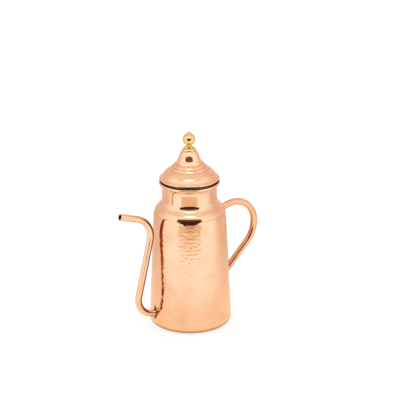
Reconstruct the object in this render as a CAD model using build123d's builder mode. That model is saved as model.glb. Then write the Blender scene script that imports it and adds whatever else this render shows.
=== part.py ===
"""Small long-spouted copper watering can with a loose, lift-off lid.

A hammered conical wall turns in at its heel to a flat foot ring, and a dished disc is brazed on top of that
ring. A spun shoulder and neck laps inside the top of the wall and ends in a rolled, wired lip. A bent tube is
the spout and another is the handle, both brazed to the wall. The lid is a spun bell with a wired rim, a flanged
sleeve that drops into the neck, and a brass knob on a stud, held from below by a washer and nut.

Frame, millimetres: Z up the can's axis from the surface it stands on, the handle towards +X, the spout
towards -X. The can is symmetric about the XZ plane.
"""

import os
from math import cos, radians, sin, tan

from build123d import *

# ---------------------------------------------------------------- driving dimensions
SHEET = 1.0  # copper sheet of the wall, shoulder and disc
THIN_SHEET = 0.8  # copper sheet of the lid and its sleeve
FIT_GAP = 0.05  # gap left for braze, and round the stud in the knob

# Wall: a cone on a rounded heel that turns in to the foot ring
WALL_TAPER = 2.6  # degrees from the vertical
HEEL_RADIUS = 6.0
FOOT_OUTER = 35.05  # where the flat foot ring meets the heel
FOOT_INNER = 30.0
WALL_ROUNDING = 104.0  # height at which the cone begins to round in to its top edge
WALL_TOP = 117.0
WALL_TOP_RADIUS = 35.6

# Base disc, brazed on top of the foot ring
DISC_RADIUS = 35.0
DISC_DISH = 1.0  # how far the disc's middle is pushed up
DISH_RADIUS = 25.0
DISH_SLOPE = 2.5  # radial width of the slope round the dish
DISC_BRAZE = (1.0, 3.6, 0.5)  # how far the fillet runs in over the disc, out over the heel, and rises there

# Shoulder and neck
LAP_DEPTH = 5.0  # how far the shoulder drops inside the wall
LAP_CLEARANCE = 0.1  # gap left for braze at the wall's top edge
LAP_BRAZE = 1.6  # height of the braze fillet under the lap
SHOULDER_EDGE = (35.4, 117.3)  # radius and height
SHOULDER_SLOPE = ((32.9, 122.17), (29.29, 125.78))  # the shoulder's straight stretch, at 45 degrees
NECK_RADIUS = 27.25
NECK_FOOT = 130.7
NECK_FLARE = 140.8  # where the neck begins to flare into the lip
LIP_CENTRE = (28.7, 147.1)
LIP_BEAD = 1.5  # radius of the rolled lip
LIP_WIRE = 0.75  # radius of the wire inside it
LIP_UNDERSIDE = radians(-75)  # where the flare meets the lip's bead

# Lid
REST_GAP = 0.15  # clearance over the lip that the lid rests on
FLANGE_SHEET = 1.2
FLANGE_RADIUS = 28.2
SLEEVE_RADIUS = 25.85
SLEEVE_DEPTH = 9.5
SLEEVE_BRAZE = 1.2
RIM_BEAD = 1.3  # radius of the lid's wired rim
RIM_WIRE = 0.7
RIM_RADIUS = 28.45  # of the wire's centre line
LID_FLANGE_TOP = (25.3, 155.1)
LID_STEPS = ((20.3, 160.5, 0.9), (16.5, 164.4, 0.3), (12.5, 168.3, 0.3))  # radius, height, bulge below
LID_BELL_TOP = (8.3, 178.2)
LID_TOP = 180.5
LID_TOP_FLAT = 6.2

# Knob and its fastening
STUD_RADIUS = 2.0
STUD_HOLE = 2.2
ROSETTE_RADIUS = 6.9
ROSETTE_HEIGHT = 2.4
ROSETTE_TOP_RADIUS = 4.2
KNOB_FOOT = (4.4, 1.1)  # radius and height
KNOB_WAIST = (2.9, 2.7)  # radius, and height above the knob's seat
KNOB_RADIUS = 6.3
KNOB_BALL = 8.2  # height of the ball's centre above the seat
KNOB_TIP = (1.9, 16.0)  # radius of the tip, and its height above the seat
STUD_IN_KNOB = 7.0
WASHER_RADIUS = 4.4
WASHER_HEIGHT = 0.8
NUT_ACROSS_FLATS = 7.0
NUT_HEIGHT = 3.2
STUD_BELOW_NUT = 1.6

# Tubes of the spout and the handle. REACH is from the axis to the farthest point of either.
TUBE_RADIUS = 3.4
TUBE_BORE = 2.6
REACH = 78.3
SPOUT_HEEL = (63.55, 15.6)  # corners of the spout's path: distance from the axis, and height
SPOUT_ELBOW = (40.3, 113.45)
SPOUT_TIP_RISE = radians(16.6)
SPOUT_BENDS = (16.9, 20.6)
SPOUT_INSIDE = 2.0  # how far the tube's end stands inside the wall
HANDLE_TOP = 116.8  # height of the tube's centre line
HANDLE_BENDS = (24.9, 23.9, 31.4)  # from the wall over the top, down the back, into the leg
HANDLE_LEG = 42.7  # degrees from the vertical
HANDLE_START = 45.0  # degrees of the first bend, the end of which is coped off at the wall
HANDLE_LEG_LENGTH = 48.0
SPOUT_BRAZE = 2.2  # radii of the braze fillets where the tubes meet the wall
HANDLE_BRAZE = 1.5
ENVELOPE_EXTRA = 10.0

TO_SPOUT = Plane(origin=(0, 0, 0), x_dir=(-1, 0, 0), z_dir=(0, 1, 0))  # local x towards the spout, local y up
TO_HANDLE = Plane.XZ


def cone_radius(z):
    """Outside radius of the wall's conical part at height z."""
    taper = radians(WALL_TAPER)
    cone_foot_radius = FOOT_OUTER + HEEL_RADIUS * cos(taper)
    cone_foot_height = HEEL_RADIUS * (1 + sin(taper))
    return cone_foot_radius - (z - cone_foot_height) * tan(taper)


def wall_line(start_radius):
    """Lines of the wall's outer surface, from start_radius on the ground to its top edge."""
    foot = Line((start_radius, 0), (FOOT_OUTER, 0))
    heel = JernArc(foot @ 1, (1, 0), HEEL_RADIUS, 90 + WALL_TAPER)
    cone = Line(heel @ 1, (cone_radius(WALL_ROUNDING), WALL_ROUNDING))
    return TangentArc(cone @ 1, (WALL_TOP_RADIUS, WALL_TOP), tangent=cone % 1)


def wall_crossing(path, inner, outer):
    """Where a path leaves the wall, between two of its parameters, as a parameter found by halving."""
    for _ in range(30):
        middle = (inner + outer) / 2
        point = path @ middle
        if abs(point.X) < cone_radius(point.Z):
            inner = middle
        else:
            outer = middle
    return middle


def braze_fillet(rod, point, radius):
    """Fillet of braze round a rod where it leaves the wall at a point."""
    with BuildPart(mode=Mode.PRIVATE) as joint:
        add(wall_envelope.part)
        add(rod)
        fillet(joint.edges().sort_by_distance(point)[0], radius=radius)
        add(wall_envelope.part, mode=Mode.SUBTRACT)
        add(rod, mode=Mode.SUBTRACT)
    return joint.part


# ---------------------------------------------------------------- wall, disc and braze
# Everything inside the wall's outer surface, which is carried on above the wall's top to give the handle's
# upper fillet room to spread. Tubes and braze fillets are coped against it.
with BuildPart() as wall_envelope:
    with BuildSketch(Plane.YZ):
        with BuildLine():
            rounding = wall_line(0)
            extra = PolarLine(rounding @ 1, ENVELOPE_EXTRA, direction=rounding % 1)
            Polyline(extra @ 1, (0, (extra @ 1).Y), (0, 0))
        make_face()
    revolve(axis=Axis.Z)

with BuildPart() as body_wall:
    with BuildSketch(Plane.XZ):
        with BuildLine():
            wall_line(FOOT_INNER)
            offset(amount=SHEET, side=Side.LEFT)
        make_face()
    revolve(axis=Axis.Z)
    with BuildSketch(Plane(origin=(0, 0, SPOUT_HEEL[1]), x_dir=(0, 1, 0), z_dir=(-1, 0, 0))):
        Circle(TUBE_RADIUS + FIT_GAP)
    extrude(amount=REACH, mode=Mode.SUBTRACT)

disc_underside = SHEET + FIT_GAP

with BuildPart() as base_disc:
    with BuildSketch(Plane.XZ):
        with BuildLine():
            Polyline(
                (0, disc_underside + DISC_DISH),
                (DISH_RADIUS, disc_underside + DISC_DISH),
                (DISH_RADIUS + DISH_SLOPE, disc_underside),
                (DISC_RADIUS, disc_underside),
                (DISC_RADIUS, disc_underside + SHEET),
                (DISH_RADIUS + DISH_SLOPE, disc_underside + SHEET),
                (DISH_RADIUS, disc_underside + SHEET + DISC_DISH),
                (0, disc_underside + SHEET + DISC_DISH),
                close=True,
            )
        make_face()
    revolve(axis=Axis.Z)

braze_in, braze_out, braze_rise = DISC_BRAZE

with BuildPart() as base_braze:
    with BuildSketch(Plane.XZ):
        with BuildLine():  # the space inside the wall, as far up as the fillet reaches
            inner_foot = Line((0, SHEET), (FOOT_OUTER, SHEET))
            inner_heel = JernArc(inner_foot @ 1, (1, 0), HEEL_RADIUS - SHEET, 90)
            Polyline(inner_heel @ 1, (0, HEEL_RADIUS), (0, SHEET))
        make_face()
        with BuildLine():
            Polyline(
                (DISC_RADIUS + FIT_GAP, 0),
                (DISC_RADIUS + FIT_GAP, disc_underside + SHEET),
                (DISC_RADIUS - braze_in, disc_underside + SHEET),
                (DISC_RADIUS + braze_out, disc_underside + SHEET + braze_rise),
                (DISC_RADIUS + braze_out, 0),
                close=True,
            )
        make_face(mode=Mode.INTERSECT)
    revolve(axis=Axis.Z)

# ---------------------------------------------------------------- shoulder and neck
lap_radius = WALL_TOP_RADIUS - SHEET - LAP_CLEARANCE

with BuildPart() as shoulder:
    with BuildSketch(Plane.XZ):
        with BuildLine():  # visible sheet, from the wall's top to the neck's flare
            slope = Line(*SHOULDER_SLOPE)
            TangentArc(slope @ 0, SHOULDER_EDGE, tangent=-(slope % 0))
            neck = Line((NECK_RADIUS, NECK_FLARE), (NECK_RADIUS, NECK_FOOT))
            TangentArc(neck @ 1, slope @ 1, tangent=neck % 1)
            offset(amount=SHEET, side=Side.LEFT)
        make_face()
        with BuildLine():  # the lap inside the wall's top
            Polyline(
                (lap_radius, WALL_TOP - LAP_DEPTH),
                (lap_radius, WALL_TOP + FIT_GAP),
                (WALL_TOP_RADIUS - 0.1, WALL_TOP + FIT_GAP),
                SHOULDER_EDGE,
                (lap_radius - SHEET, WALL_TOP + SHEET),
                (lap_radius - SHEET, WALL_TOP - LAP_DEPTH),
                close=True,
            )
        make_face()
        with BuildLine():  # the flare under the lip
            under_lip = (
                LIP_CENTRE[0] + LIP_BEAD * cos(LIP_UNDERSIDE),
                LIP_CENTRE[1] + LIP_BEAD * sin(LIP_UNDERSIDE),
            )
            outer_flare = TangentArc((NECK_RADIUS, NECK_FLARE), under_lip, tangent=(0, 1))
            inner_flare = TangentArc(
                (NECK_RADIUS - SHEET, NECK_FLARE), (LIP_CENTRE[0] - LIP_BEAD, LIP_CENTRE[1]), tangent=(0, 1)
            )
            Line(outer_flare @ 1, inner_flare @ 1)
            Line(outer_flare @ 0, inner_flare @ 0)
        make_face()
        with Locations(LIP_CENTRE):
            Circle(LIP_BEAD)
            Circle(LIP_WIRE + FIT_GAP, mode=Mode.SUBTRACT)
    revolve(axis=Axis.Z)

with BuildPart() as shoulder_braze:
    lap_foot = WALL_TOP - LAP_DEPTH
    with BuildSketch(Plane.XZ):
        with BuildLine():
            Polyline(
                (lap_radius - SHEET, lap_foot),
                (WALL_TOP_RADIUS, lap_foot),
                (WALL_TOP_RADIUS, lap_foot - LAP_BRAZE),
                close=True,
            )
        make_face()
        with BuildLine():
            wall_line(FOOT_INNER)
            offset(amount=SHEET, side=Side.LEFT)
        make_face(mode=Mode.SUBTRACT)
    revolve(axis=Axis.Z)

with BuildPart() as neck_lip_wire:
    with BuildSketch(Plane.XZ):
        with Locations(LIP_CENTRE):
            Circle(LIP_WIRE)
    revolve(axis=Axis.Z)

# ---------------------------------------------------------------- spout
spout_tip_run = REACH - TUBE_RADIUS * sin(SPOUT_TIP_RISE) - SPOUT_ELBOW[0]

with BuildPart() as spout_rod:  # the spout as a solid rod
    with BuildLine(TO_SPOUT) as spout_path:
        FilletPolyline(
            (cone_radius(SPOUT_HEEL[1]) - SHEET - SPOUT_INSIDE, SPOUT_HEEL[1]),
            SPOUT_HEEL,
            SPOUT_ELBOW,
            (SPOUT_ELBOW[0] + spout_tip_run, SPOUT_ELBOW[1] + spout_tip_run * tan(SPOUT_TIP_RISE)),
            radius=SPOUT_BENDS,
        )
    with BuildSketch(Plane(origin=spout_path.line @ 0, z_dir=spout_path.line % 0)):
        Circle(TUBE_RADIUS)
    sweep()

with BuildPart() as spout_tube:
    add(spout_rod.part)
    with BuildSketch(Plane(origin=spout_path.line @ 0, z_dir=spout_path.line % 0)):
        Circle(TUBE_BORE)
    sweep(path=spout_path.line, mode=Mode.SUBTRACT)

with BuildPart() as spout_braze:
    add(braze_fillet(spout_rod.part, spout_path.line @ wall_crossing(spout_path.line, 0, 0.1), SPOUT_BRAZE))

# ---------------------------------------------------------------- handle
top_bend, back_bend, leg_bend = HANDLE_BENDS
apex_x = REACH - TUBE_RADIUS - back_bend
start_angle = radians(HANDLE_START)
handle_start = (apex_x - top_bend * sin(start_angle), HANDLE_TOP - top_bend * (1 - cos(start_angle)))

with BuildPart() as handle_rod:  # the handle as a solid rod
    with BuildLine(TO_HANDLE) as handle_path:
        over_top = JernArc(handle_start, (cos(start_angle), sin(start_angle)), top_bend, -HANDLE_START)
        down_back = JernArc(over_top @ 1, (1, 0), back_bend, -90)
        into_leg = JernArc(down_back @ 1, (0, -1), leg_bend, -HANDLE_LEG)
        PolarLine(into_leg @ 1, HANDLE_LEG_LENGTH, angle=-90 - HANDLE_LEG)
    with BuildSketch(Plane(origin=handle_path.line @ 0, z_dir=handle_path.line % 0)):
        Circle(TUBE_RADIUS)
    sweep()

with BuildPart() as handle_tube:
    add(handle_rod.part)
    with BuildSketch(Plane(origin=handle_path.line @ 0, z_dir=handle_path.line % 0)):
        Circle(TUBE_BORE)
    sweep(path=handle_path.line, mode=Mode.SUBTRACT)
    add(wall_envelope.part, mode=Mode.SUBTRACT)

with BuildPart() as handle_upper_braze:
    upper_crossing = wall_crossing(handle_path.line, 0, 0.3)
    add(braze_fillet(handle_rod.part, handle_path.line @ upper_crossing, HANDLE_BRAZE))

with BuildPart() as handle_lower_braze:
    lower_crossing = wall_crossing(handle_path.line, 1, 0.7)
    add(braze_fillet(handle_rod.part, handle_path.line @ lower_crossing, HANDLE_BRAZE))

# ---------------------------------------------------------------- lid
lid_seat = LIP_CENTRE[1] + LIP_BEAD + REST_GAP
flange_top = lid_seat + FLANGE_SHEET
rim_centre = (RIM_RADIUS, flange_top + FIT_GAP + RIM_BEAD)
sleeve_inside = SLEEVE_RADIUS - THIN_SHEET

with BuildPart() as lid_shell:
    with BuildSketch(Plane.XZ):
        with BuildLine():
            corner = Line((RIM_RADIUS, rim_centre[1] + RIM_BEAD - FIT_GAP), LID_FLANGE_TOP) @ 1
            for radius, height, bulge in LID_STEPS:
                corner = SagittaArc(corner, (radius, height), -bulge) @ 1
            bell = Line(corner, LID_BELL_TOP)
            shoulder_arc = TangentArc(bell @ 1, (LID_TOP_FLAT, LID_TOP), tangent=bell % 1)
            Line(shoulder_arc @ 1, (STUD_HOLE, LID_TOP))
            offset(amount=THIN_SHEET, side=Side.LEFT)
        make_face()
        with Locations(rim_centre):
            Circle(RIM_BEAD)
            Circle(RIM_WIRE + FIT_GAP, mode=Mode.SUBTRACT)
    revolve(axis=Axis.Z)

with BuildPart() as lid_rim_wire:
    with BuildSketch(Plane.XZ):
        with Locations(rim_centre):
            Circle(RIM_WIRE)
    revolve(axis=Axis.Z)

with BuildPart() as lid_sleeve:
    with BuildSketch(Plane.XZ):
        with BuildLine():
            Polyline(
                (sleeve_inside, flange_top),
                (FLANGE_RADIUS, flange_top),
                (FLANGE_RADIUS, lid_seat),
                (SLEEVE_RADIUS, lid_seat),
                (SLEEVE_RADIUS, lid_seat - SLEEVE_DEPTH),
                (sleeve_inside, lid_seat - SLEEVE_DEPTH),
                close=True,
            )
        make_face()
    revolve(axis=Axis.Z)

with BuildPart() as lid_sleeve_braze:
    with BuildSketch(Plane.XZ):
        with BuildLine():
            Polyline(
                (RIM_RADIUS - RIM_BEAD - SLEEVE_BRAZE, flange_top),
                (RIM_RADIUS, flange_top),
                (RIM_RADIUS - RIM_BEAD, flange_top + RIM_BEAD),
                close=True,
            )
        make_face()
        with Locations(rim_centre):
            Circle(RIM_BEAD, mode=Mode.SUBTRACT)
    revolve(axis=Axis.Z)

# ---------------------------------------------------------------- knob and its fastening
knob_seat = LID_TOP + ROSETTE_HEIGHT
washer_top = LID_TOP - THIN_SHEET
nut_top = washer_top - WASHER_HEIGHT
stud_foot = nut_top - NUT_HEIGHT - STUD_BELOW_NUT

with BuildPart() as knob_rosette:
    with BuildSketch(Plane.XZ):
        with BuildLine():
            rosette_side = SagittaArc((ROSETTE_RADIUS, LID_TOP), (ROSETTE_TOP_RADIUS, knob_seat), -0.5)
            Polyline(rosette_side @ 1, (STUD_HOLE, knob_seat), (STUD_HOLE, LID_TOP), rosette_side @ 0)
        make_face()
    revolve(axis=Axis.Z)

with BuildPart() as knob:
    with BuildSketch(Plane.XZ):
        with BuildLine():
            foot_side = Line((KNOB_FOOT[0], knob_seat), (KNOB_FOOT[0], knob_seat + KNOB_FOOT[1]))
            waist = (KNOB_WAIST[0], knob_seat + KNOB_WAIST[1])
            widest = (KNOB_RADIUS, knob_seat + KNOB_BALL)
            tip = (KNOB_TIP[0], knob_seat + KNOB_TIP[1])
            waist_curve = TangentArc(waist, foot_side @ 1, tangent=(0, -1))
            Spline(waist, widest, tip, tangents=((0, 1), (0, 1), (-1, 0.25)))
            Polyline(tip, (0, tip[1]), (0, knob_seat), foot_side @ 0)
        make_face()
    revolve(axis=Axis.Z)
    with Locations((0, 0, knob_seat)):
        Cylinder(
            STUD_RADIUS + FIT_GAP,
            STUD_IN_KNOB + FIT_GAP,
            align=(Align.CENTER, Align.CENTER, Align.MIN),
            mode=Mode.SUBTRACT,
        )

with BuildPart() as knob_stud:
    with BuildSketch(Plane.XY.offset(stud_foot)):
        Circle(STUD_RADIUS)
    extrude(amount=knob_seat + STUD_IN_KNOB - stud_foot)
    chamfer(knob_stud.faces().sort_by(Axis.Z)[0].edges(), length=0.4)

with BuildPart() as knob_washer:
    with BuildSketch(Plane.XY.offset(nut_top)):
        Circle(WASHER_RADIUS)
        Circle(STUD_HOLE, mode=Mode.SUBTRACT)
    extrude(amount=WASHER_HEIGHT)

with BuildPart() as knob_nut:
    with BuildSketch(Plane.XY.offset(nut_top - NUT_HEIGHT)):
        RegularPolygon(NUT_ACROSS_FLATS / 2, 6, major_radius=False)
        Circle(STUD_RADIUS + FIT_GAP, mode=Mode.SUBTRACT)
    extrude(amount=NUT_HEIGHT)

# ---------------------------------------------------------------- write one file per piece
os.makedirs("parts", exist_ok=True)
pieces = {
    "body_wall": body_wall,
    "base_disc": base_disc,
    "base_braze": base_braze,
    "shoulder": shoulder,
    "shoulder_braze": shoulder_braze,
    "neck_lip_wire": neck_lip_wire,
    "spout_tube": spout_tube,
    "spout_braze": spout_braze,
    "handle_tube": handle_tube,
    "handle_upper_braze": handle_upper_braze,
    "handle_lower_braze": handle_lower_braze,
    "lid_shell": lid_shell,
    "lid_rim_wire": lid_rim_wire,
    "lid_sleeve": lid_sleeve,
    "lid_sleeve_braze": lid_sleeve_braze,
    "knob_rosette": knob_rosette,
    "knob": knob,
    "knob_stud": knob_stud,
    "knob_washer": knob_washer,
    "knob_nut": knob_nut,
}
for label, piece in pieces.items():
    piece.part.label = label
    export_step(piece.part, f"parts/{label}.step")
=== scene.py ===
"""Looks of the small copper watering can: hammered wall, spun neck and lid, bent tubes and brass knob.

Every visible copper piece is rebuilt here as a finer mesh in the place of its CAD node. The can's sizes are
in millimetres, as in the CAD model, and become metres when a mesh is made. The studio is in metres.
"""

from math import atan2, ceil, cos, degrees, hypot, pi, radians, sin, tan

import bpy
import numpy as np
from mathutils import Matrix, Vector


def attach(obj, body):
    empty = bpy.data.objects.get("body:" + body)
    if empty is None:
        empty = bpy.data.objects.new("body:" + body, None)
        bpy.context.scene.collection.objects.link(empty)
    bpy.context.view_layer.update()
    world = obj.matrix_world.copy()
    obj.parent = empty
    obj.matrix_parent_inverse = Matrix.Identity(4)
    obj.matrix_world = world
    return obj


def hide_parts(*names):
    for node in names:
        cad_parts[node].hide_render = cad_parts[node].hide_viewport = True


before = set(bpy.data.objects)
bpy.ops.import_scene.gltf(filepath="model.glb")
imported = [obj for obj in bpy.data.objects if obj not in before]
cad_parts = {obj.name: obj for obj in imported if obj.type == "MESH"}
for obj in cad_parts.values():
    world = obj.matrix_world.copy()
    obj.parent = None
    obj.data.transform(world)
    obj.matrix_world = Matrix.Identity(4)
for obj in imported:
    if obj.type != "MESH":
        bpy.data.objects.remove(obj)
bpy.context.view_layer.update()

rng = np.random.default_rng(7)
MM = 0.001

# ---------------------------------------------------------------- dimensions, as in the CAD or close to it
SHEET = 1.0
THIN_SHEET = 0.8
WALL_TAPER = radians(2.6)
HEEL_RADIUS = 6.0
FOOT_OUTER = 35.05
FOOT_INNER = 30.0
WALL_ROUNDING = 104.0  # height above which the cone is rounded in
WALL_TOP = 117.0
WALL_TOP_RADIUS = 35.6
WALL_EDGE = 114.0  # height above which it is rounded in a little more, to meet the shoulder
WALL_EDGE_CURVE = 0.022
LAP_DEPTH = 5.0
LAP_CLEARANCE = 0.1
SHOULDER_EDGE = (35.37, 117.06)
SLOPE_FOOT = (31.93, 123.14)
SLOPE_TOP = (29.9, 125.17)
NECK_RADIUS = 27.25
NECK_FOOT = 131.7
NECK_FLARE = 140.8
LIP_CENTRE = (28.7, 147.1)
LIP_BEAD = 1.5
LIP_UNDERSIDE = -75  # angle round the lip's bead at which the neck's flare meets it
RIM_CENTRE = (28.45, 151.3)
RIM_BEAD = 1.3
RIM_TURN = 62  # angle round the rim's bead at which the lid leaves it
LID_FLANGE_FOOT = (27.0, 153.9)
LID_STEPS = ((19.1, 161.75, 0.9), (16.5, 164.4, 0.3), (13.6, 167.2, 0.3))  # radius, height, bulge below
LID_WAIST = (10.75, 172.3)
LID_BELL_TOP = (8.3, 178.2)
LID_TOP = 180.5
LID_TOP_FLAT = 6.2
STUD_HOLE = 2.2
KNOB_SEAT = 182.9
TUBE_RADIUS = 3.4
TUBE_BORE = 2.6
REACH = 78.3  # from the axis to the farthest point of the spout and of the handle
SPOUT_HEEL = (63.55, 15.6)
SPOUT_ELBOW = (40.3, 113.45)
SPOUT_TIP_RISE = radians(16.6)
SPOUT_BENDS = (16.9, 20.6)
SPOUT_INSIDE = 2.0  # how far it reaches past the wall's inside
HANDLE_TOP = 116.8
HANDLE_START = 36  # degrees of the top bend that lie before its highest point
HANDLE_BENDS = (24.9, 23.9, 31.4)
HANDLE_LEG = radians(42.7)
HANDLE_LEG_LENGTH = 41.0
HANDLE_SINK = 0.4  # how far its ends go into the wall


def wall_radius(z):
    """Outside radius of the conical wall at height z."""
    cone_foot_radius = FOOT_OUTER + HEEL_RADIUS * cos(WALL_TAPER)
    cone_foot_height = HEEL_RADIUS * (1 + sin(WALL_TAPER))
    cone = cone_foot_radius - (z - cone_foot_height) * tan(WALL_TAPER)
    top_cone = cone_foot_radius - (WALL_TOP - cone_foot_height) * tan(WALL_TAPER)
    rounding = max(0.0, (z - WALL_ROUNDING) / (WALL_TOP - WALL_ROUNDING))
    edge = WALL_EDGE_CURVE * max(0.0, z - WALL_EDGE) ** 2
    return cone - (top_cone - WALL_TOP_RADIUS) * rounding ** 2 - edge


# ---------------------------------------------------------------- outlines: lists of (radius, height)
def line(start, end, step=1.0):
    """Points from start to end, about a step apart."""
    count = max(1, ceil(hypot(end[0] - start[0], end[1] - start[1]) / step))
    return [(start[0] + (end[0] - start[0]) * i / count, start[1] + (end[1] - start[1]) * i / count)
            for i in range(count + 1)]


def arc(centre, radius, start, end, step=6.0):
    """Points round a centre from one angle to another, in degrees, about a step apart."""
    count = max(2, ceil(abs(end - start) / step))
    angles = [radians(start + (end - start) * i / count) for i in range(count + 1)]
    return [(centre[0] + radius * cos(a), centre[1] + radius * sin(a)) for a in angles]


def tangent_arc(start, heading, end, step=4.0):
    """Points of the arc that leaves start along a heading and reaches end."""
    length = hypot(*heading)
    left = (-heading[1] / length, heading[0] / length)
    chord = (end[0] - start[0], end[1] - start[1])
    radius = (chord[0] ** 2 + chord[1] ** 2) / (2 * (chord[0] * left[0] + chord[1] * left[1]))
    centre = (start[0] + left[0] * radius, start[1] + left[1] * radius)
    first = degrees(atan2(start[1] - centre[1], start[0] - centre[0]))
    last = degrees(atan2(end[1] - centre[1], end[0] - centre[0]))
    turn = (last - first) % 360 if radius > 0 else -((first - last) % 360)
    return arc(centre, abs(radius), first, first + turn, step)


def bulged(start, end, bulge, step=4.0):
    """Points of an arc from start to end that stands out from its chord, to the right of its direction."""
    chord = (end[0] - start[0], end[1] - start[1])
    length = hypot(*chord)
    half_turn = 2 * atan2(2 * bulge, length)
    heading = atan2(chord[1], chord[0]) - half_turn
    return tangent_arc(start, (cos(heading), sin(heading)), end, step)


def join(*runs):
    """One list of points from several runs, each point once."""
    points = []
    for run in runs:
        for point in run:
            if not points or hypot(point[0] - points[-1][0], point[1] - points[-1][1]) > 1e-4:
                points.append(point)
    return points


def shifted(points, distance):
    """The outline moved to the left of its direction by a distance, as the other face of a sheet."""
    moved = []
    for i, (r, z) in enumerate(points):
        before, after = points[max(i - 1, 0)], points[min(i + 1, len(points) - 1)]
        dr, dz = after[0] - before[0], after[1] - before[1]
        length = hypot(dr, dz)
        moved.append((r - dz / length * distance, z + dr / length * distance))
    return moved


# ---------------------------------------------------------------- meshes
def make_piece(name, vertices, faces, sharp=35.0):
    """A smooth-shaded object from vertices in millimetres, with creases sharper than an angle kept."""
    mesh = bpy.data.meshes.new(name)
    mesh.from_pydata((np.asarray(vertices, dtype=float) * MM).tolist(), [], faces)
    mesh.validate()
    mesh.update()
    mesh.polygons.foreach_set("use_smooth", [True] * len(mesh.polygons))
    mesh.set_sharp_from_angle(angle=radians(sharp))
    piece = bpy.data.objects.new(name, mesh)
    bpy.context.scene.collection.objects.link(piece)
    return piece


def paint(piece, material, inside):
    """Gives a second material to the faces whose centre's radius and height, in millimetres, pass a test."""
    piece.data.materials.append(material)
    for face in piece.data.polygons:
        x, y, z = face.center / MM
        if inside(hypot(x, y), z):
            face.material_index = len(piece.data.materials) - 1


def grid_faces(rows, columns, close_rows, close_columns):
    """Quads over a grid of vertices numbered row by row."""
    faces = []
    for i in range(rows if close_rows else rows - 1):
        for j in range(columns if close_columns else columns - 1):
            k, m = (i + 1) % rows, (j + 1) % columns
            faces.append((i * columns + j, i * columns + m, k * columns + m, k * columns + j))
    return faces


def revolve(name, outline, around=192, relief=None, sharp=35.0):
    """A closed outline turned about the axis. relief(r, z, angles) says how far its points move inwards."""
    angles = np.arange(around) * 2 * pi / around
    vertices = []
    for r, z in outline:
        radius = r - (relief(r, z, angles) if relief else 0.0) * np.ones(around)
        ring = (radius * np.cos(angles), radius * np.sin(angles), np.full(around, z))
        vertices.append(np.stack(ring, axis=1))
    return make_piece(name, np.concatenate(vertices), grid_faces(len(outline), around, True, True), sharp)


# ---------------------------------------------------------------- the can's wall, with its hammer marks
MARK_ROWS = 3.8  # height of a row of hammer marks
MARK_WIDTH = 3.6
MARK_SHIFT = 0.35  # how far a mark may be from its even place along its row, in widths
MARK_SCATTER = 0.9  # and from its row's height
MARK_LEVELS = 0.030  # how far the marks' floors differ in depth
MARK_CURVE_ALONG = 0.0150  # how fast a mark's floor rises along its row, per mm
MARK_CURVE_UP = (0.0060, 0.0230)  # the same up the wall, least and most
MARK_DEPTH = 0.10
MARKS_START = 1.5  # height at which the marks begin
MARKS_FADE_IN = 4.0  # height over which they reach their full depth
MARKS_FADE_OUT = 12.0  # height over which they die away below the shoulder


def hammer_marks():
    """For each row of marks: its height, then the marks' angles, heights, levels and curves up the wall."""
    rows = []
    for i in range(int(WALL_TOP / MARK_ROWS) + 2):
        height = (i + 0.5) * MARK_ROWS
        number = int(2 * pi * wall_radius(height) / MARK_WIDTH)
        places = np.arange(number) + rng.uniform(-MARK_SHIFT, MARK_SHIFT, number) + rng.uniform()
        heights = height + rng.uniform(-MARK_SCATTER, MARK_SCATTER, number)
        levels = rng.uniform(0, MARK_LEVELS, number)
        curves = rng.uniform(*MARK_CURVE_UP, number)
        rows.append((height, places * 2 * pi / number, heights, levels, curves))
    return rows


marks = hammer_marks()


def hammered(radius, height, angles):
    """Depth of the hammer marks below the plain wall at one height and many angles."""
    if height < MARKS_START or radius < wall_radius(height) - 2.5 * SHEET:
        return np.zeros_like(angles)
    depth = np.full_like(angles, 1.0)
    for row_height, mark_angles, mark_heights, levels, curves in marks:
        if abs(row_height - height) > 2 * MARK_ROWS:
            continue
        along = (angles[:, None] - mark_angles[None, :] + pi) % (2 * pi) - pi
        up = height - mark_heights[None, :]
        rise = (along * radius) ** 2 * MARK_CURVE_ALONG + up ** 2 * curves[None, :]
        depth = np.minimum(depth, (levels[None, :] + rise).min(axis=1))
    below = min(1.0, (height - MARKS_START) / MARKS_FADE_IN)
    above = min(1.0, max(0.0, (WALL_TOP - height) / MARKS_FADE_OUT))
    return np.clip(MARK_DEPTH - depth, 0, MARK_DEPTH) * below * above


def make_wall():
    heel_centre = (FOOT_OUTER, HEEL_RADIUS)
    heel_end = degrees(WALL_TAPER)
    outside = join(
        line((FOOT_INNER, 0.0), (FOOT_OUTER, 0.0), 2.5),
        arc(heel_centre, HEEL_RADIUS, -90, heel_end, 5.0),
        [(wall_radius(z), z) for z in np.arange(HEEL_RADIUS + 0.3, WALL_TOP - 0.2, 0.55)],
    )
    inside = join(
        [(wall_radius(WALL_TOP), WALL_TOP), (wall_radius(WALL_TOP) - SHEET, WALL_TOP)],
        [(wall_radius(z) - SHEET, z) for z in np.arange(WALL_TOP - 0.3, HEEL_RADIUS, -6.0)],
        arc(heel_centre, HEEL_RADIUS - SHEET, heel_end, -90, 12.0),
        line((FOOT_OUTER, SHEET), (FOOT_INNER, SHEET), 2.5),
    )
    return revolve("hammered_wall", join(outside, inside), 440, hammered)


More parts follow.
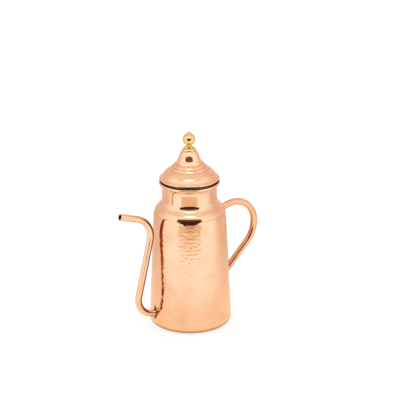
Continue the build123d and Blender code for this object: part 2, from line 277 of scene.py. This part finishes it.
# ---------------------------------------------------------------- shoulder and neck
def make_shoulder():
    slope = (SLOPE_TOP[0] - SLOPE_FOOT[0], SLOPE_TOP[1] - SLOPE_FOOT[1])
    edge_arc = tangent_arc(SLOPE_FOOT, (-slope[0], -slope[1]), SHOULDER_EDGE)
    cove = tangent_arc((NECK_RADIUS, NECK_FOOT), (0, -1), SLOPE_TOP)
    outer = join(
        edge_arc[::-1],
        line(SLOPE_FOOT, SLOPE_TOP),
        cove[::-1],
        line((NECK_RADIUS, NECK_FOOT), (NECK_RADIUS, NECK_FLARE), 2.0),
    )
    under = radians(LIP_UNDERSIDE)
    lip_foot = (LIP_CENTRE[0] + LIP_BEAD * cos(under), LIP_CENTRE[1] + LIP_BEAD * sin(under))
    lip_inside = (LIP_CENTRE[0] - LIP_BEAD, LIP_CENTRE[1])
    lip = join(
        tangent_arc((NECK_RADIUS, NECK_FLARE), (0, 1), lip_foot),
        arc(LIP_CENTRE, LIP_BEAD, LIP_UNDERSIDE, 180, 8.0),
        tangent_arc((NECK_RADIUS - SHEET, NECK_FLARE), (0, 1), lip_inside)[::-1],
    )
    lap = wall_radius(WALL_TOP) - SHEET - LAP_CLEARANCE
    inner = [p for p in shifted(outer, SHEET)[::-1] if p[0] < lap - SHEET - 0.1]
    foot = [
        (lap - SHEET, WALL_TOP + 0.8),
        (lap - SHEET, WALL_TOP - LAP_DEPTH),
        (lap, WALL_TOP - LAP_DEPTH),
        (lap, WALL_TOP + 0.03),
    ]
    return revolve("spun_shoulder", join(outer, lip, inner, foot), 256)


# ---------------------------------------------------------------- lid
def make_lid():
    turn = radians(RIM_TURN)
    start = (RIM_CENTRE[0] + RIM_BEAD * cos(turn), RIM_CENTRE[1] + RIM_BEAD * sin(turn))
    runs = [bulged(start, LID_FLANGE_FOOT, 0.05)]
    corner = LID_FLANGE_FOOT
    for radius, height, bulge in LID_STEPS:
        runs.append(bulged(corner, (radius, height), bulge))
        corner = (radius, height)
    runs.append(bulged(corner, LID_WAIST, -0.15))
    runs.append(bulged(LID_WAIST, LID_BELL_TOP, 0.22))
    runs.append(tangent_arc(LID_BELL_TOP, (-0.5, 1), (LID_TOP_FLAT, LID_TOP), 8.0))
    runs.append(line((LID_TOP_FLAT, LID_TOP), (STUD_HOLE, LID_TOP), 2.0))
    outer = join(*runs)
    inner = shifted(outer, THIN_SHEET)[::-1]
    bead = arc(RIM_CENTRE, RIM_BEAD, 170, 400, 8.0)
    return revolve("lid_bell", join(bead, outer, inner), 256, sharp=22)


# ---------------------------------------------------------------- brass knob and its rosette
def make_knob():
    foot = KNOB_SEAT
    outline = join(
        [(2.05, foot), (4.1, foot), (4.4, foot + 0.3)],
        arc((4.1, foot + 0.8), 0.3, 0, 90, 30),
        tangent_arc((3.9, foot + 1.1), (-1, 0), (2.9, foot + 2.7), 12)[:-1],
        bulged((2.9, foot + 2.7), (4.3, foot + 4.2), -0.2, 12)[:-1],
        arc((0, foot + 8.2), 6.25, -38, 62, 5),
        bulged((2.93, foot + 13.72), (2.3, foot + 14.5), -0.15, 12)[1:],
        arc((0, foot + 13.5), 2.5, 25, 90, 10)[:-1],
        [(0.02, foot + 15.9), (0.02, foot + 7.05), (2.05, foot + 7.05)],
    )
    return revolve("knob_finial", outline, 96, sharp=40)


def make_rosette():
    outline = join(
        [(6.9, LID_TOP), (6.9, LID_TOP + 0.35)],
        bulged((6.7, LID_TOP + 0.6), (4.5, KNOB_SEAT - 0.1), 0.35, 8),
        [(4.2, KNOB_SEAT), (STUD_HOLE, KNOB_SEAT), (STUD_HOLE, LID_TOP)],
    )
    return revolve("domed_rosette", outline, 96, sharp=40)


# ---------------------------------------------------------------- tubes
def filleted(corners, radii, step=5.0):
    """Path through corners, each rounded by an arc of its radius."""
    runs = []
    for i, radius in enumerate(radii, start=1):
        corner = corners[i]
        back = Vector(corners[i - 1]) - Vector(corner)
        ahead = Vector(corners[i + 1]) - Vector(corner)
        half = back.angle(ahead) / 2
        start = Vector(corner) + back.normalized() * radius / tan(half)
        end = Vector(corner) + ahead.normalized() * radius / tan(half)
        runs.append(tangent_arc(tuple(start), tuple(-back), tuple(end), step))
    path = [corners[0]]
    for run in runs:
        path = join(path, line(path[-1], run[0], 2.0), run)
    return join(path, line(path[-1], corners[-1], 2.0))


def tube_rings(path, side, radius, around):
    """Rings of vertices round a path in the plane y = 0, with side -1 or +1 for the direction of x."""
    rings = []
    for i, (x, z) in enumerate(path):
        before, after = path[max(i - 1, 0)], path[min(i + 1, len(path) - 1)]
        along = Vector((side * (after[0] - before[0]), 0, after[1] - before[1])).normalized()
        across = Vector((-along.z, 0, along.x))
        centre = Vector((side * x, 0, z))
        ring = []
        for j in range(around):
            angle = 2 * pi * j / around
            ring.append(centre + across * radius * cos(angle) + Vector((0, 1, 0)) * radius * sin(angle))
        rings.append(ring)
    return rings


def reach_wall(point, along, depth):
    """The point moved back along a direction until it is a depth below the wall's outer surface."""
    near, far = -12.0, 12.0
    for _ in range(30):
        middle = (near + far) / 2
        spot = point + along * middle
        if hypot(spot.x, spot.y) < wall_radius(spot.z) - depth:
            near = middle
        else:
            far = middle
    return point + along * near


def tube_piece(name, rings, close=True):
    """A piece from rings of vertices. close joins the last to the first."""
    around = len(rings[0])
    vertices = [tuple(v) for ring in rings for v in ring]
    return make_piece(name, vertices, grid_faces(len(rings), around, close, True), 40)


def spout_path():
    root = wall_radius(SPOUT_HEEL[1]) - SHEET - SPOUT_INSIDE
    run = REACH - TUBE_RADIUS * sin(SPOUT_TIP_RISE) - SPOUT_ELBOW[0]
    tip = (SPOUT_ELBOW[0] + run, SPOUT_ELBOW[1] + run * tan(SPOUT_TIP_RISE))
    return filleted([(root, SPOUT_HEEL[1]), SPOUT_HEEL, SPOUT_ELBOW, tip], SPOUT_BENDS)


def handle_path():
    top_bend, back_bend, leg_bend = HANDLE_BENDS
    apex = (REACH - TUBE_RADIUS - back_bend, HANDLE_TOP)
    leg_centre = (REACH - TUBE_RADIUS - leg_bend, HANDLE_TOP - back_bend)
    leg_top = (leg_centre[0] + leg_bend * cos(HANDLE_LEG), leg_centre[1] - leg_bend * sin(HANDLE_LEG))
    leg_foot = (
        leg_top[0] - HANDLE_LEG_LENGTH * sin(HANDLE_LEG),
        leg_top[1] - HANDLE_LEG_LENGTH * cos(HANDLE_LEG),
    )
    return join(
        arc((apex[0], apex[1] - top_bend), top_bend, 90 + HANDLE_START, 90, 4),
        arc((apex[0], apex[1] - back_bend), back_bend, 90, 0, 4),
        arc(leg_centre, leg_bend, 0, -degrees(HANDLE_LEG), 4),
        line(leg_top, leg_foot, 2.0),
    )


def make_spout():
    path = spout_path()
    outer = tube_rings(path, -1, TUBE_RADIUS, 40)
    inner = tube_rings(path, -1, TUBE_BORE, 40)
    return tube_piece("spout", outer + inner[::-1])


def make_handle():
    path = handle_path()
    rings = tube_rings(path, 1, TUBE_RADIUS, 40)
    start = (rings[1][0] - rings[0][0]).normalized()
    finish = (rings[-2][0] - rings[-1][0]).normalized()
    rings[0] = [reach_wall(v, start, HANDLE_SINK) for v in rings[0]]
    rings[-1] = [reach_wall(v, finish, HANDLE_SINK) for v in rings[-1]]
    return tube_piece("handle", rings, close=False)


# ---------------------------------------------------------------- solder where the tubes meet the wall
SPIKE_WIDTH = 13.0  # degrees
SOLDER_EDGE = 0.07  # thickness at the solder's outer edge


def on_wall(across, up, lift, side):
    """The point a lift above the wall, from its distance round the wall and its height."""
    radius = wall_radius(up) + lift
    return (side * radius * cos(across / wall_radius(up)), radius * sin(across / wall_radius(up)), up)


def make_solder(name, root, side, spread, spikes, climb):
    """Solder round a tube's root, which is a ring of points on the wall.

    It climbs up the tube, and it runs out over the wall by an uneven spread and in thin tongues, each with
    a heading in degrees and a length.
    """
    flat = [(atan2(p.y, side * p.x) * wall_radius(p.z), p.z) for p in root]
    count = len(flat)
    middle = (sum(p[0] for p in flat) / count, sum(p[1] for p in flat) / count)
    headings = np.array([degrees(atan2(up - middle[1], across - middle[0])) for across, up in flat])
    knots = np.arange(0, count + 1, 4)
    reach = np.interp(np.arange(count), knots, rng.uniform(*spread, count // 4 + 1))
    for heading, length in spikes:
        turn = (headings - heading + 180) % 360 - 180
        reach = np.maximum(reach, length * np.exp(-((turn / SPIKE_WIDTH) ** 2)))
    rows = [[on_wall(*at, -0.3, side) for at in flat]]
    for part in (0.0, 0.15, 0.35, 0.6, 0.85, 1.0, 1.02):
        row = []
        for (across, up), width in zip(flat, reach):
            du, dv = across - middle[0], up - middle[1]
            out = width * part / hypot(du, dv)
            swell = climb * (0.85 + 0.3 * sin(5 * atan2(dv, du)))
            lift = swell * (1 - part) ** 2.2 + SOLDER_EDGE if part <= 1.0 else -0.15
            row.append(on_wall(across + du * out, up + dv * out, lift, side))
        rows.append(row)
    vertices = [v for row in rows for v in row]
    return make_piece(name, vertices, grid_faces(len(rows), count, True, True), 80)


def tube_root(path, side, end):
    """The ring of points where a tube meets the wall, at the start (0) or the end (-1) of its path."""
    rings = tube_rings(path, side, TUBE_RADIUS + 0.05, 48)
    ring, other = (rings[0], rings[1]) if end == 0 else (rings[-1], rings[-2])
    along = (other[0] - ring[0]).normalized()
    return [reach_wall(v, along, 0.0) for v in ring]


# ---------------------------------------------------------------- materials
class Graph:
    """A material's nodes, with short ways to add the kinds used here."""

    def __init__(self, material):
        self.nodes = material.node_tree.nodes
        self.links = material.node_tree.links

    def link(self, value, socket):
        self.links.new(value, socket)

    def noise(self, where, scale, detail, roughness=0.5):
        texture = self.nodes.new("ShaderNodeTexNoise")
        texture.inputs["Scale"].default_value = scale
        texture.inputs["Detail"].default_value = detail
        texture.inputs["Roughness"].default_value = roughness
        self.link(where, texture.inputs["Vector"])
        return texture.outputs["Fac"]

    def stretch(self, where, scale):
        mapping = self.nodes.new("ShaderNodeMapping")
        mapping.inputs["Scale"].default_value = scale
        self.link(where, mapping.inputs["Vector"])
        return mapping.outputs["Vector"]

    def ramp(self, value, start, end, low=0.0, high=1.0, kind="SMOOTHSTEP"):
        """Goes from low to high as a value goes from start to end."""
        ramp = self.nodes.new("ShaderNodeMapRange")
        ramp.interpolation_type = kind
        for name, number in (("From Min", start), ("From Max", end), ("To Min", low), ("To Max", high)):
            ramp.inputs[name].default_value = number
        self.link(value, ramp.inputs["Value"])
        return ramp.outputs["Result"]

    def math(self, operation, *values):
        """Each value is a number or a socket."""
        step = self.nodes.new("ShaderNodeMath")
        step.operation = operation
        for value, socket in zip(values, step.inputs):
            if isinstance(value, float):
                socket.default_value = value
            else:
                self.link(value, socket)
        return step.outputs["Value"]

    def mix(self, amount, first, second):
        """Goes from a colour, given or from a socket, to a second colour."""
        blend = self.nodes.new("ShaderNodeMix")
        blend.data_type = "RGBA"
        self.link(amount, blend.inputs["Factor"])
        if isinstance(first, tuple):
            blend.inputs["A"].default_value = (*first, 1)
        else:
            self.link(first, blend.inputs["A"])
        blend.inputs["B"].default_value = (*second, 1)
        return blend.outputs["Result"]

    def bump(self, height, strength, distance):
        relief = self.nodes.new("ShaderNodeBump")
        relief.inputs["Strength"].default_value = strength
        relief.inputs["Distance"].default_value = distance
        self.link(height, relief.inputs["Height"])
        return relief


CLOUD_SCALE = 55.0
SPOT_SCALE = 230.0
PIT_SCALE = 300.0
PIT_SQUEEZE = (1, 1, 2.2)
PIT_DEPTH = 0.00013  # metres
SCRATCH_DEPTH = 0.0002


def metal(name, colour, tarnish, roughness, streak=(1, 1, 1), grain=900.0, bump=0.02, pits=0.0):
    """Bare metal with clouds and spots of tarnish, fine scratches stretched by streak, and pits."""
    material = bpy.data.materials.new(name)
    material.use_nodes = True
    graph = Graph(material)
    shader = graph.nodes["Principled BSDF"]
    shader.inputs["Metallic"].default_value = 1.0
    where = graph.nodes.new("ShaderNodeTexCoord").outputs["Object"]

    clouds = graph.ramp(graph.noise(where, CLOUD_SCALE, 5.0), 0.46, 0.85, 0.0, 0.45, "LINEAR")
    spots = graph.ramp(graph.noise(where, SPOT_SCALE, 6.0, 0.7), 0.57, 0.72, 0.0, 2.0, "LINEAR")
    darker = graph.math("MULTIPLY_ADD", spots, clouds, clouds)
    graph.link(graph.mix(darker, colour, tarnish), shader.inputs["Base Color"])

    scratches = graph.noise(graph.stretch(where, streak), grain, 3.0)
    graph.link(graph.ramp(scratches, 0.0, 1.0, *roughness, "LINEAR"), shader.inputs["Roughness"])
    relief = graph.bump(scratches, bump, SCRATCH_DEPTH)
    if pits:
        dents = graph.noise(graph.stretch(where, PIT_SQUEEZE), PIT_SCALE, 1.5)
        graph.link(graph.bump(dents, pits, PIT_DEPTH).outputs["Normal"], relief.inputs["Normal"])
    graph.link(relief.outputs["Normal"], shader.inputs["Normal"])
    return material


def darken(graph, amount, colour):
    """Takes the base colour of a graph's material towards another by an amount from a socket."""
    base = graph.nodes["Principled BSDF"].inputs["Base Color"]
    graph.link(graph.mix(amount, base.links[0].from_socket, colour), base)


def crease_shade_and_joint_lines(material, lines):
    """Darkens thin level lines round a turned piece, given as (height, half width) in millimetres: painted
    shade in creases, and a dark line at a joint.
    """
    graph = Graph(material)
    parts = graph.nodes.new("ShaderNodeSeparateXYZ")
    graph.link(graph.nodes["Texture Coordinate"].outputs["Object"], parts.inputs["Vector"])
    strongest = 0.0
    for height, half_width in lines:
        away = graph.math("ABSOLUTE", graph.math("SUBTRACT", parts.outputs["Z"], height * MM))
        strongest = graph.math("MAXIMUM", strongest, graph.ramp(away, half_width * MM, 0.0, 0.0, 0.45))
    darken(graph, strongest, SHADE_AND_JOINT_DARK)


def shade_side_facing(material, colour, direction):
    """Darkens a tube on the side that faces a direction: painted shade, standing in for the dark reflection
    of the can's wall on that side.
    """
    graph = Graph(material)
    facing = graph.nodes.new("ShaderNodeVectorMath")
    facing.operation = "DOT_PRODUCT"
    facing.inputs[0].default_value = Vector(direction).normalized()
    graph.link(graph.nodes["Texture Coordinate"].outputs["Normal"], facing.inputs[1])
    darken(graph, graph.ramp(facing.outputs["Value"], 0.60, 0.85), colour)


COPPER = (0.975, 0.65, 0.43)
COPPER_DARK = (0.74, 0.35, 0.17)
# colour of the painted shade in the lid's creases and of the dark line at the shoulder's joint
SHADE_AND_JOINT_DARK = (0.50, 0.22, 0.10)
SPINNING = (0.05, 0.05, 1.6)  # stretches scratches round a turned piece
DRAWING = (1, 1, 0.3)  # stretches them along a tube

hammered_copper = metal("hammered_copper", COPPER, COPPER_DARK, (0.05, 0.13), bump=0.03, pits=0.8)
neck_copper = metal("neck_copper", COPPER, COPPER_DARK, (0.05, 0.13), SPINNING, 1500, 0.05)
# a dark line at the joint where the shoulder meets the wall
crease_shade_and_joint_lines(neck_copper, [(WALL_TOP + 0.1, 0.5)])
lid_copper = metal("lid_copper", COPPER, COPPER_DARK, (0.06, 0.16), SPINNING, 1500, 0.05)
# painted shade in the creases between the lid's steps
crease_shade_and_joint_lines(lid_copper, [(height, 0.5) for _, height, _ in LID_STEPS])
spout_copper = metal("spout_copper", COPPER, COPPER_DARK, (0.13, 0.24), DRAWING, bump=0.04)
# painted shade on the spout's side that faces the can's wall
shade_side_facing(spout_copper, (0.34, 0.11, 0.045), (1, -0.8, 0))
handle_copper = metal("handle_copper", (0.93, 0.54, 0.33), COPPER_DARK, (0.13, 0.24), DRAWING, bump=0.04)
# painted shade on the handle's side that faces the can's wall
shade_side_facing(handle_copper, (0.45, 0.18, 0.08), (-1, 0.5, 0))
inner_copper = metal(
    "inner_copper", (0.80, 0.46, 0.29), (0.55, 0.27, 0.14), (0.25, 0.42), grain=500, bump=0.08
)
# very dark copper for the lid's sleeve: painted shade, as the sleeve sits deep in the gap under the lid
gap_shade_copper = metal("gap_shade_copper", (0.22, 0.10, 0.055), (0.10, 0.05, 0.03), (0.35, 0.5), grain=500, bump=0.1)
# near-black, painted as the shade in the gap between the lid's rim and the neck's lip
gap_shade_black = metal("gap_shade_black", (0.035, 0.015, 0.009), (0.02, 0.01, 0.006), (0.4, 0.6), grain=700, bump=0.1)
brass = metal(
    "polished_brass", (0.89, 0.68, 0.30), (0.66, 0.44, 0.14), (0.08, 0.18), (0.2, 0.2, 1), 1200, 0.04
)
solder = metal("braze", (0.24, 0.17, 0.09), (0.06, 0.05, 0.03), (0.35, 0.65), grain=500, bump=0.4)
steel = metal("bright_steel", (0.60, 0.60, 0.61), (0.40, 0.40, 0.42), (0.18, 0.35), grain=800, bump=0.06)

# ---------------------------------------------------------------- the CAD nodes that show as they are
CAD_MATERIALS = {
    "base_disc": inner_copper,
    "base_braze": solder,
    "shoulder_braze": solder,
    "neck_lip_wire": steel,
    "lid_rim_wire": steel,
    # painted shade: the sleeve sits in the dark gap under the lid
    "lid_sleeve": gap_shade_copper,
    "lid_sleeve_braze": solder,
    "knob_stud": steel,
    "knob_washer": steel,
    "knob_nut": steel,
}
for node, material in CAD_MATERIALS.items():
    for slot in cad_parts[node].material_slots:
        slot.material = material


# ---------------------------------------------------------------- the pieces, each in place of its CAD node
LIP_GAP_SHADE = (29.4, 148.1)  # the lip is painted near-black as shade in the gap under the lid, inside this radius and above this height
RIM_GAP_SHADE = 151.3  # and the lid's rim below this height


def place(piece, material, body, node):
    """Gives a piece its material and body, and hides the CAD node that it stands for."""
    piece.data.materials.append(material)
    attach(piece, body)
    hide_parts(node)


place(make_wall(), hammered_copper, "can", "body_wall")
shoulder = make_shoulder()
place(shoulder, neck_copper, "can", "shoulder")
# painted shade on the lip's top, in the gap under the lid
paint(shoulder, gap_shade_black, lambda r, z: r < LIP_GAP_SHADE[0] and z > LIP_GAP_SHADE[1])
place(make_spout(), spout_copper, "can", "spout_tube")
place(make_handle(), handle_copper, "can", "handle_tube")

# Piece, CAD node, root, side of the can, spread, tongues and climb
SOLDER = (
    ("spout_solder", "spout_braze", tube_root(spout_path(), -1, 0), -1,
     (0.5, 1.5), ((84, 5.2), (105, 3.4), (-82, 4.4), (-110, 3.0), (10, 2.2)), 1.5),
    ("handle_solder_upper", "handle_upper_braze", tube_root(handle_path(), 1, 0), 1,
     (0.5, 1.3), ((-75, 2.8), (100, 2.2), (170, 2.0)), 1.0),
    ("handle_solder_lower", "handle_lower_braze", tube_root(handle_path(), 1, -1), 1,
     (0.5, 1.4), ((-95, 3.6), (80, 2.6), (20, 2.0)), 1.2),
)
for name, node, root, side, spread, spikes, climb in SOLDER:
    place(make_solder(name, root, side, spread, spikes, climb), solder, "can", node)

lid = make_lid()
place(lid, lid_copper, "lid", "lid_shell")
# painted shade on the underside of the lid's rim, in the gap above the lip
paint(lid, gap_shade_black, lambda r, z: z < RIM_GAP_SHADE)
place(make_knob(), brass, "lid", "knob")
place(make_rosette(), brass, "lid", "knob_rosette")

# ---------------------------------------------------------------- camera
VIEW_AZIMUTH = radians(-30)
VIEW_ELEVATION = radians(20.3)
VIEW_ROLL = radians(0.26)
VIEW_DISTANCE = 1.6  # from the camera to the can
VIEW_CENTRE = Vector((0, 0, 0.08006))
VIEW_ASIDE = 0.0202
VIEW_ABOVE = 0.035
VIEW_WIDTH = 0.42  # how much the picture takes in at the can
SENSOR = 36.0  # millimetres


def make_camera():
    back = Vector((
        sin(VIEW_AZIMUTH) * cos(VIEW_ELEVATION),
        -cos(VIEW_AZIMUTH) * cos(VIEW_ELEVATION),
        sin(VIEW_ELEVATION),
    ))
    right = Vector((cos(VIEW_AZIMUTH), sin(VIEW_AZIMUTH), 0))
    up = back.cross(right)
    camera = bpy.data.objects.new("camera", bpy.data.cameras.new("camera"))
    bpy.context.scene.collection.objects.link(camera)
    camera.data.sensor_width = SENSOR
    camera.data.lens = SENSOR * VIEW_DISTANCE / VIEW_WIDTH
    camera.data.clip_start = 0.05
    camera.data.clip_end = 20.0
    rolled_right = right * cos(VIEW_ROLL) - up * sin(VIEW_ROLL)
    rolled_up = up * cos(VIEW_ROLL) + right * sin(VIEW_ROLL)
    turn = Matrix((rolled_right, rolled_up, back)).transposed()
    position = VIEW_CENTRE + back * VIEW_DISTANCE + right * VIEW_ASIDE + up * VIEW_ABOVE
    camera.matrix_world = Matrix.Translation(position) @ turn.to_4x4()
    bpy.context.scene.camera = camera


make_camera()
bpy.context.scene.view_settings.view_transform = "Standard"


# ---------------------------------------------------------------- floor
def make_floor():
    material = bpy.data.materials.new("white_floor")
    material.use_nodes = True
    shader = material.node_tree.nodes["Principled BSDF"]
    shader.inputs["Base Color"].default_value = (0.40, 0.40, 0.40, 1)
    shader.inputs["Roughness"].default_value = 0.9
    shader.inputs["Specular IOR Level"].default_value = 0.0
    shader.inputs["Emission Color"].default_value = (1, 1, 1, 1)
    shader.inputs["Emission Strength"].default_value = 0.66
    mesh = bpy.data.meshes.new("floor")
    mesh.from_pydata([(-3, -3, 0), (3, -3, 0), (3, 3, 0), (-3, 3, 0)], [], [(0, 1, 2, 3)])
    floor = bpy.data.objects.new("floor", mesh)
    bpy.context.scene.collection.objects.link(floor)
    mesh.materials.append(material)


make_floor()


# ---------------------------------------------------------------- what the copper reflects, in metres
def glow(name, low, high=None, start=0.0, end=1.0, axis="Z"):
    """An emissive material of one colour, or one that changes to another along an object axis."""
    material = bpy.data.materials.new(name)
    material.use_nodes = True
    graph = Graph(material)
    graph.nodes.remove(graph.nodes["Principled BSDF"])
    emission = graph.nodes.new("ShaderNodeEmission")
    emission.inputs["Color"].default_value = (*low, 1)
    graph.link(emission.outputs["Emission"], graph.nodes["Material Output"].inputs["Surface"])
    if high:
        parts = graph.nodes.new("ShaderNodeSeparateXYZ")
        where = graph.nodes.new("ShaderNodeTexCoord").outputs["Object"]
        graph.link(where, parts.inputs["Vector"])
        along = graph.ramp(parts.outputs[axis], start, end)
        graph.link(graph.mix(along, low, high), emission.inputs["Color"])
    return material


def card(name, points, faces, material):
    """A mesh whose -Y is turned to the camera, and which is seen in reflections alone."""
    mesh = bpy.data.meshes.new(name)
    mesh.from_pydata(points, [], faces)
    made = bpy.data.objects.new(name, mesh)
    bpy.context.scene.collection.objects.link(made)
    mesh.materials.append(material)
    made.rotation_euler = (0, 0, VIEW_AZIMUTH)
    made.visible_camera = False
    made.visible_diffuse = False
    made.visible_shadow = False
    made.visible_transmission = False


# The open front of the white tent: a dark room behind a bare table
OPENING_DISTANCE = 0.68
OPENING_SIDE = [(0.16, 0.0), (0.36, 0.08), (0.56, 0.24), (0.56, 0.60)]
TABLE_START = 0.325
TABLE_SPREAD = 0.66  # half the table's width, as a part of the distance from the can
TABLE_HEIGHT = 0.002

room = glow("dark_room", (0.045, 0.020, 0.012), (0.20, 0.085, 0.05), 0.26, 0.50)
opening = [(-x, z) for x, z in OPENING_SIDE[::-1]] + OPENING_SIDE
card("dark_room", [(x, -OPENING_DISTANCE, z) for x, z in opening], [tuple(range(len(opening)))], room)
table = [
    (side * TABLE_SPREAD * distance, -distance, TABLE_HEIGHT)
    for side, distance in (
        (-1, TABLE_START), (1, TABLE_START), (1, OPENING_DISTANCE), (-1, OPENING_DISTANCE),
    )
]
card("bare_table", table, [(0, 1, 2, 3)], glow("bare_table", (0.90, 0.655, 0.48)))

# The tent itself: its floor, and walls and ceiling that grow dimmer and warmer the farther round they are
TENT_RADIUS = 1.3
TENT_HEIGHT = 1.5
TENT_FLOOR = 0.0006
TENT_MIDDLE = 0.02  # radius of the small hole left in the floor and the ceiling
TENT_SIDES = 96
TENT_WHITE = (1.08, 1.10, 1.10)
TENT_WARM = (0.84, 0.66, 0.57)
CEILING_WHITE = (0.96, 0.86, 0.78)
COPPER_LIGHT = (1.04, 0.83, 0.66)  # what the can throws on the floor round it
PATCH_DISTANCE = 0.87652  # the lamp's bright patch on the ceiling: how far in front of the can it is
PATCH_SIZE = (0.75, 0.24)  # half its width and half its depth


def tent_piece(name, rings, material):
    """Part of the tent, turned about the can's axis through rings of (radius, height)."""
    turns = [2 * pi * k / TENT_SIDES for k in range(TENT_SIDES)]
    points = [(r * sin(a), -r * cos(a), z) for r, z in rings for a in turns]
    card(name, points, grid_faces(len(rings), TENT_SIDES, False, True), material)


def tent_floor_material():
    """White cloth that goes warm behind the can, and round it takes its colour and its contact shadow."""
    material = glow("tent_floor", TENT_WHITE, TENT_WARM, -0.18, 0.14, "Y")
    graph = Graph(material)
    emission = graph.nodes["Emission"].inputs
    distance = graph.nodes.new("ShaderNodeVectorMath")
    distance.operation = "LENGTH"
    graph.link(graph.nodes["Texture Coordinate"].outputs["Object"], distance.inputs[0])
    near = graph.ramp(distance.outputs["Value"], 0.25, 0.02)
    graph.link(graph.mix(near, emission["Color"].links[0].from_socket, COPPER_LIGHT), emission["Color"])
    graph.link(graph.ramp(distance.outputs["Value"], 0.034, 0.048, 0.18, 1.0), emission["Strength"])
    return material


def ceiling_material():
    """Cloth with the lamp above it showing through as a soft bright patch."""
    material = glow("tent_ceiling", CEILING_WHITE, TENT_WARM, -0.2, 1.0, "Y")
    graph = Graph(material)
    mapping = graph.nodes.new("ShaderNodeMapping")
    mapping.inputs["Location"].default_value = (0, PATCH_DISTANCE / PATCH_SIZE[1], 0)
    mapping.inputs["Scale"].default_value = (1 / PATCH_SIZE[0], 1 / PATCH_SIZE[1], 0)
    graph.link(graph.nodes["Texture Coordinate"].outputs["Object"], mapping.inputs["Vector"])
    patch = graph.nodes.new("ShaderNodeTexGradient")
    patch.gradient_type = "SPHERICAL"
    graph.link(mapping.outputs["Vector"], patch.inputs["Vector"])
    brightness = graph.ramp(patch.outputs["Fac"], 0.0, 1.0, 1.0, 4.5)
    graph.link(brightness, graph.nodes["Emission"].inputs["Strength"])
    return material


tent_piece("tent_floor", [(TENT_MIDDLE, TENT_FLOOR), (TENT_RADIUS, TENT_FLOOR)], tent_floor_material())
wall_cloth = glow("tent_wall", TENT_WHITE, TENT_WARM, -0.60, 0.90, "Y")
tent_piece("tent_wall", [(TENT_RADIUS, TENT_FLOOR), (TENT_RADIUS, TENT_HEIGHT)], wall_cloth)
tent_piece("tent_ceiling", [(TENT_RADIUS, TENT_HEIGHT), (TENT_MIDDLE, TENT_HEIGHT)], ceiling_material())

# ---------------------------------------------------------------- light
LAMP_ELEVATION = radians(61)
LAMP_DISTANCE = 1.1
LAMP_AIM = Vector((0, 0, 0.12))


def make_light():
    """White all round, and a lamp high on the camera's side for the floor's soft shadow."""
    world = bpy.data.worlds.new("studio")
    bpy.context.scene.world = world
    world.use_nodes = True
    world.node_tree.nodes["Background"].inputs["Color"].default_value = (1, 1, 1, 1)
    world.node_tree.nodes["Background"].inputs["Strength"].default_value = 1.0
    lamp = bpy.data.lights.new("overhead", "AREA")
    lamp.shape = "RECTANGLE"
    lamp.size = 0.40
    lamp.size_y = 0.22
    lamp.energy = 0.55
    overhead = bpy.data.objects.new("overhead", lamp)
    bpy.context.scene.collection.objects.link(overhead)
    towards_view = Vector((sin(VIEW_AZIMUTH), -cos(VIEW_AZIMUTH), 0))
    direction = towards_view * cos(LAMP_ELEVATION) + Vector((0, 0, sin(LAMP_ELEVATION)))
    overhead.location = LAMP_AIM + direction * LAMP_DISTANCE
    overhead.visible_glossy = False
    overhead.rotation_mode = "QUATERNION"
    overhead.rotation_quaternion = direction.to_track_quat("Z", "Y")


make_light()
